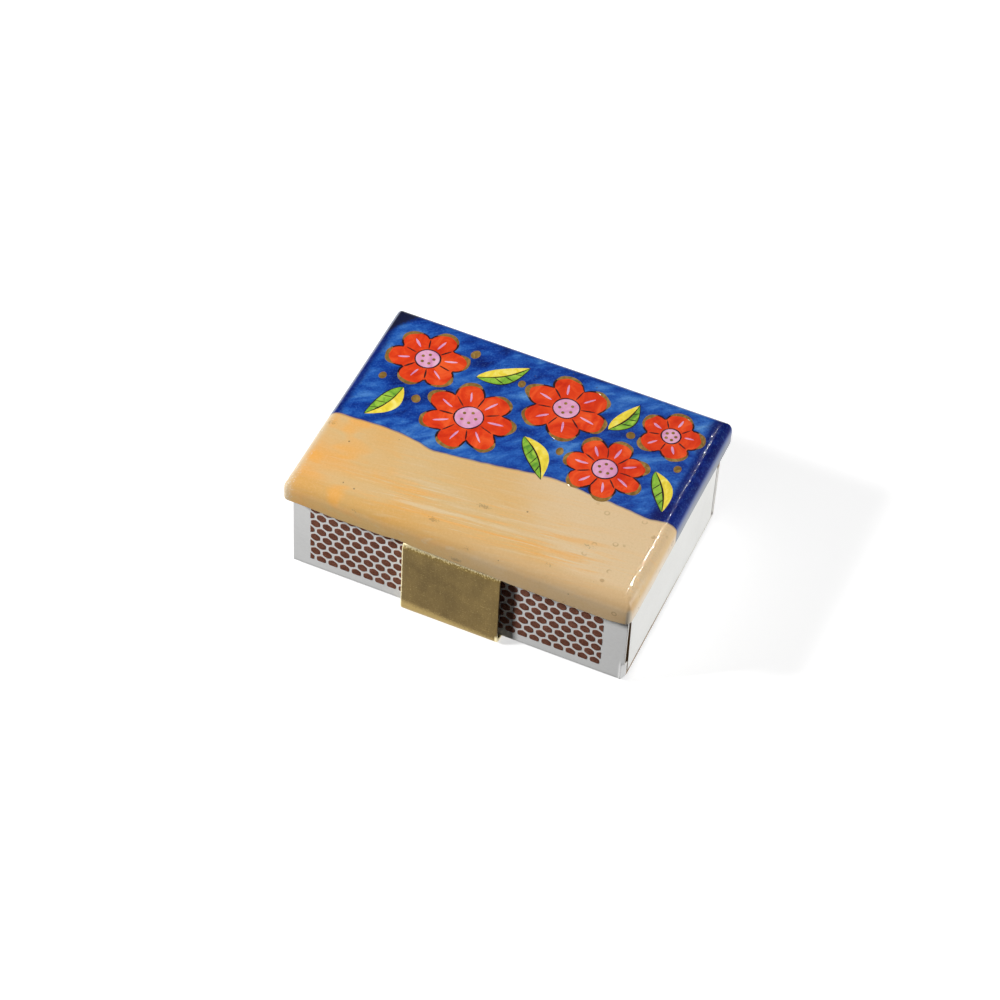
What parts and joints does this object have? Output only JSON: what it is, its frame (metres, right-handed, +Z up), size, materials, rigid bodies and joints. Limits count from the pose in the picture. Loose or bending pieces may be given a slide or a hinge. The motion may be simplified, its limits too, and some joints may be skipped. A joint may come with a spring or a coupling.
{
  "type": "matchbox holder",
  "caption": "Lacquered wooden board with rounded edges, held on a standard matchbox by a bent brass band; the box slides in the band and its tray of matches slides in the sleeve.",
  "frame": {"origin": "under the middle of the board, on the underside of the brass band", "axes": "+X along the box and its slide, -Y the front striking side, +Z up towards the painted board"},
  "size_m": [0.0546, 0.04, 0.02],
  "materials": {
    "painted_board": "gloss lacquer over paint",
    "aged_brass": "aged, satin",
    "pin_brass": "satin",
    "white_card": "coated card",
    "tray_card": "plain card",
    "striking_coat": "printed, rough",
    "match_wood": "raw split wood"
  },
  "bodies": {
    "holder": {"cover_board": "painted_board", "brass_band": "aged_brass", "band_pins": "pin_brass"},
    "matchbox": {"sleeve": "white_card", "striker_front": "striking_coat", "striker_back": "striking_coat"},
    "tray": {"tray": "tray_card", "match_01": "match_wood", "match_02": "match_wood", "match_03": "match_wood", "match_04": "match_wood", "match_05": "match_wood", "match_06": "match_wood", "match_07": "match_wood", "match_08": "match_wood", "match_09": "match_wood", "match_10": "match_wood", "match_11": "match_wood", "match_12": "match_wood", "match_13": "match_wood", "match_14": "match_wood", "match_15": "match_wood", "match_16": "match_wood", "match_17": "match_wood", "match_18": "match_wood", "match_19": "match_wood", "match_20": "match_wood", "match_21": "match_wood", "match_22": "match_wood", "match_23": "match_wood", "match_24": "match_wood", "match_25": "match_wood", "match_26": "match_wood", "match_27": "match_wood", "match_28": "match_wood", "match_29": "match_wood", "match_30": "match_wood", "match_31": "match_wood", "match_32": "match_wood", "match_33": "match_wood", "match_34": "match_wood", "match_35": "match_wood", "match_36": "match_wood", "match_37": "match_wood", "match_38": "match_wood", "match_39": "match_wood"}
  },
  "joints": [
    {"name": "box_slide", "type": "slide", "parent": "holder", "child": "matchbox", "axis": [1, 0, 0], "range_m": [-0.036, 0.036]},
    {"name": "tray_slide", "type": "slide", "parent": "matchbox", "child": "tray", "axis": [1, 0, 0], "range_m": [-0.04, 0.04]}
  ]
}
